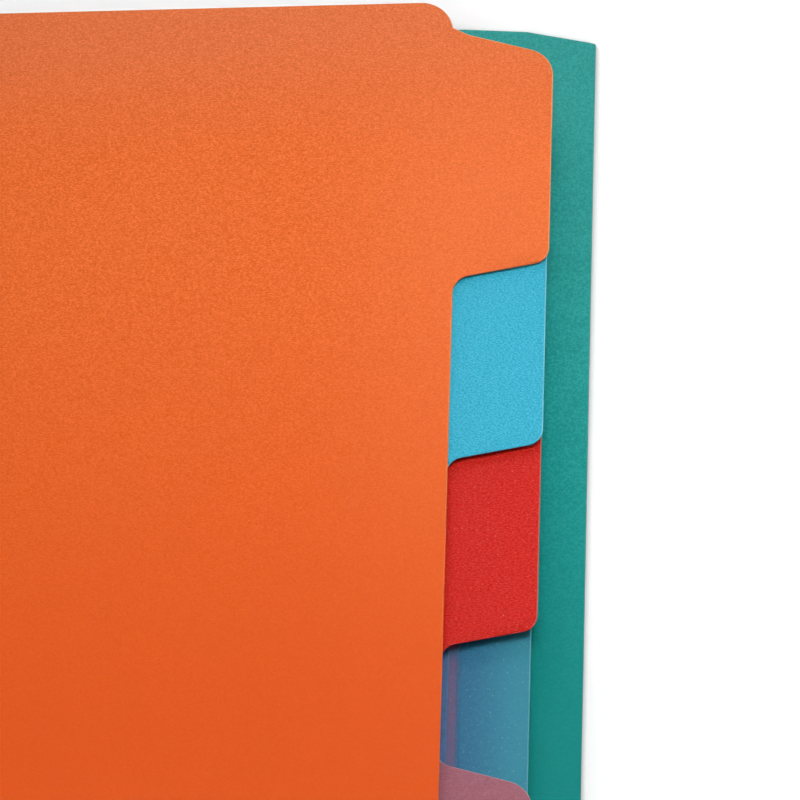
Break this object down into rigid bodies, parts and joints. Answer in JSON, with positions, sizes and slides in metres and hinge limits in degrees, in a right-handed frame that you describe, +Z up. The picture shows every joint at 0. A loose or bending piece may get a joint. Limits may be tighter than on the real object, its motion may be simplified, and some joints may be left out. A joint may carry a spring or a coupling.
{
  "type": "expanding file folder",
  "caption": "A4 expanding file, open flat: cover with spine panel, and stepped tabbed plastic dividers hung on a pleated spine that opens like bellows.",
  "frame": {"origin": "underside of the back cover, below the inner folds of the pleated spine and halfway up the pages", "axes": "+X from the spine to the tabs, +Y up the pages, +Z up from the table"},
  "size_m": [0.5334, 0.323, 0.0173],
  "materials": {
    "orange_sheet": "embossed matte polypropylene",
    "cyan_sheet": "embossed matte polypropylene",
    "red_sheet": "embossed matte polypropylene",
    "pink_film": "embossed translucent polypropylene",
    "blue_film": "embossed translucent polypropylene",
    "magenta_film": "embossed translucent polypropylene",
    "violet_sheet": "embossed matte polypropylene",
    "green_sheet": "embossed matte polypropylene",
    "pleat_teal": "matte polypropylene",
    "cover_teal": "fine-grained matte polypropylene"
  },
  "bodies": {
    "back_cover": {"back_cover": "cover_teal"},
    "spine_panel": {"spine_panel": "cover_teal"},
    "front_cover": {"front_cover": "cover_teal"},
    "pleat_8_lower": {"pleat_8_lower": "pleat_teal"},
    "pleat_8_upper": {"pleat_8_upper": "pleat_teal"},
    "divider_8": {"divider_8": "green_sheet"},
    "pleat_7_lower": {"pleat_7_lower": "pleat_teal"},
    "pleat_7_upper": {"pleat_7_upper": "pleat_teal"},
    "divider_7": {"divider_7": "magenta_film"},
    "pleat_6_lower": {"pleat_6_lower": "pleat_teal"},
    "pleat_6_upper": {"pleat_6_upper": "pleat_teal"},
    "divider_6": {"divider_6": "violet_sheet"},
    "pleat_4_lower": {"pleat_4_lower": "pleat_teal"},
    "pleat_4_upper": {"pleat_4_upper": "pleat_teal"},
    "divider_4": {"divider_4": "blue_film"},
    "pleat_5_lower": {"pleat_5_lower": "pleat_teal"},
    "pleat_5_upper": {"pleat_5_upper": "pleat_teal"},
    "divider_5": {"divider_5": "pink_film"},
    "pleat_3_lower": {"pleat_3_lower": "pleat_teal"},
    "pleat_3_upper": {"pleat_3_upper": "pleat_teal"},
    "divider_3": {"divider_3": "red_sheet"},
    "pleat_2_lower": {"pleat_2_lower": "pleat_teal"},
    "pleat_2_upper": {"pleat_2_upper": "pleat_teal"},
    "divider_2": {"divider_2": "cyan_sheet"},
    "pleat_1_lower": {"pleat_1_lower": "pleat_teal"},
    "pleat_1_upper": {"pleat_1_upper": "pleat_teal"},
    "divider_1": {"divider_1": "orange_sheet"}
  },
  "joints": [
    {"name": "spine_crease", "type": "hinge", "parent": "back_cover", "child": "spine_panel", "pos_m": [-0.014, 0, 0.001], "axis": [0, -1, 0], "range_deg": [-90, 0]},
    {"name": "front_crease", "type": "hinge", "parent": "spine_panel", "child": "front_cover", "pos_m": [-0.039, 0, 0.001], "axis": [0, -1, 0], "range_deg": [-90, 0]},
    {"name": "compartment_8_opens", "type": "hinge", "parent": "back_cover", "child": "divider_8", "pos_m": [-0.035, 0, 0.00193], "axis": [0, -1, 0], "range_deg": [0, 17.5]},
    {"name": "lower_fold_8", "type": "hinge", "parent": "back_cover", "child": "pleat_8_lower", "pos_m": [0, 0, 0.00145], "axis": [0, 1, 0], "range_deg": [0, 17.5]},
    {"name": "upper_fold_8", "type": "hinge", "parent": "divider_8", "child": "pleat_8_upper", "pos_m": [0, 0, 0.0024], "axis": [0, -1, 0], "range_deg": [0, 17.5]},
    {"name": "compartment_7_opens", "type": "hinge", "parent": "divider_8", "child": "divider_7", "pos_m": [-0.035, 0, 0.00378], "axis": [0, -1, 0], "range_deg": [0, 17.5]},
    {"name": "lower_fold_7", "type": "hinge", "parent": "divider_8", "child": "pleat_7_lower", "pos_m": [0, 0, 0.00315], "axis": [0, 1, 0], "range_deg": [0, 17.5]},
    {"name": "upper_fold_7", "type": "hinge", "parent": "divider_7", "child": "pleat_7_upper", "pos_m": [0, 0, 0.0044], "axis": [0, -1, 0], "range_deg": [0, 17.5]},
    {"name": "compartment_6_opens", "type": "hinge", "parent": "divider_7", "child": "divider_6", "pos_m": [-0.035, 0, 0.00577], "axis": [0, -1, 0], "range_deg": [0, 17.5]},
    {"name": "lower_fold_6", "type": "hinge", "parent": "divider_7", "child": "pleat_6_lower", "pos_m": [0, 0, 0.00515], "axis": [0, 1, 0], "range_deg": [0, 17.5]},
    {"name": "upper_fold_6", "type": "hinge", "parent": "divider_6", "child": "pleat_6_upper", "pos_m": [0, 0, 0.0064], "axis": [0, -1, 0], "range_deg": [0, 17.5]},
    {"name": "compartment_4_opens", "type": "hinge", "parent": "divider_6", "child": "divider_4", "pos_m": [-0.035, 0, 0.00777], "axis": [0, -1, 0], "range_deg": [0, 17.5]},
    {"name": "lower_fold_4", "type": "hinge", "parent": "divider_6", "child": "pleat_4_lower", "pos_m": [0, 0, 0.00715], "axis": [0, 1, 0], "range_deg": [0, 17.5]},
    {"name": "upper_fold_4", "type": "hinge", "parent": "divider_4", "child": "pleat_4_upper", "pos_m": [0, 0, 0.0084], "axis": [0, -1, 0], "range_deg": [0, 17.5]},
    {"name": "compartment_5_opens", "type": "hinge", "parent": "divider_4", "child": "divider_5", "pos_m": [-0.035, 0, 0.00958], "axis": [0, -1, 0], "range_deg": [0, 17.5]},
    {"name": "lower_fold_5", "type": "hinge", "parent": "divider_4", "child": "pleat_5_lower", "pos_m": [0, 0, 0.00915], "axis": [0, 1, 0], "range_deg": [0, 17.5]},
    {"name": "upper_fold_5", "type": "hinge", "parent": "divider_5", "child": "pleat_5_upper", "pos_m": [0, 0, 0.01], "axis": [0, -1, 0], "range_deg": [0, 17.5]},
    {"name": "compartment_3_opens", "type": "hinge", "parent": "divider_5", "child": "divider_3", "pos_m": [-0.035, 0, 0.01183], "axis": [0, -1, 0], "range_deg": [0, 17.5]},
    {"name": "lower_fold_3", "type": "hinge", "parent": "divider_5", "child": "pleat_3_lower", "pos_m": [0, 0, 0.01075], "axis": [0, 1, 0], "range_deg": [0, 17.5]},
    {"name": "upper_fold_3", "type": "hinge", "parent": "divider_3", "child": "pleat_3_upper", "pos_m": [0, 0, 0.0129], "axis": [0, -1, 0], "range_deg": [0, 17.5]},
    {"name": "compartment_2_opens", "type": "hinge", "parent": "divider_3", "child": "divider_2", "pos_m": [-0.035, 0, 0.01432], "axis": [0, -1, 0], "range_deg": [0, 17.5]},
    {"name": "lower_fold_2", "type": "hinge", "parent": "divider_3", "child": "pleat_2_lower", "pos_m": [0, 0, 0.01365], "axis": [0, 1, 0], "range_deg": [0, 17.5]},
    {"name": "upper_fold_2", "type": "hinge", "parent": "divider_2", "child": "pleat_2_upper", "pos_m": [0, 0, 0.015], "axis": [0, -1, 0], "range_deg": [0, 17.5]},
    {"name": "compartment_1_opens", "type": "hinge", "parent": "divider_2", "child": "divider_1", "pos_m": [-0.035, 0, 0.01607], "axis": [0, -1, 0], "range_deg": [0, 17.5]},
    {"name": "lower_fold_1", "type": "hinge", "parent": "divider_2", "child": "pleat_1_lower", "pos_m": [0, 0, 0.01575], "axis": [0, 1, 0], "range_deg": [0, 17.5]},
    {"name": "upper_fold_1", "type": "hinge", "parent": "divider_1", "child": "pleat_1_upper", "pos_m": [0, 0, 0.0164], "axis": [0, -1, 0], "range_deg": [0, 17.5]}
  ],
  "couplings": [
    {"joint": "lower_fold_8", "follows": "compartment_8_opens", "ratio": 1},
    {"joint": "upper_fold_8", "follows": "compartment_8_opens", "ratio": 1},
    {"joint": "lower_fold_7", "follows": "compartment_7_opens", "ratio": 1},
    {"joint": "upper_fold_7", "follows": "compartment_7_opens", "ratio": 1},
    {"joint": "lower_fold_6", "follows": "compartment_6_opens", "ratio": 1},
    {"joint": "upper_fold_6", "follows": "compartment_6_opens", "ratio": 1},
    {"joint": "lower_fold_4", "follows": "compartment_4_opens", "ratio": 1},
    {"joint": "upper_fold_4", "follows": "compartment_4_opens", "ratio": 1},
    {"joint": "lower_fold_5", "follows": "compartment_5_opens", "ratio": 1},
    {"joint": "upper_fold_5", "follows": "compartment_5_opens", "ratio": 1},
    {"joint": "lower_fold_3", "follows": "compartment_3_opens", "ratio": 1},
    {"joint": "upper_fold_3", "follows": "compartment_3_opens", "ratio": 1},
    {"joint": "lower_fold_2", "follows": "compartment_2_opens", "ratio": 1},
    {"joint": "upper_fold_2", "follows": "compartment_2_opens", "ratio": 1},
    {"joint": "lower_fold_1", "follows": "compartment_1_opens", "ratio": 1},
    {"joint": "upper_fold_1", "follows": "compartment_1_opens", "ratio": 1}
  ]
}
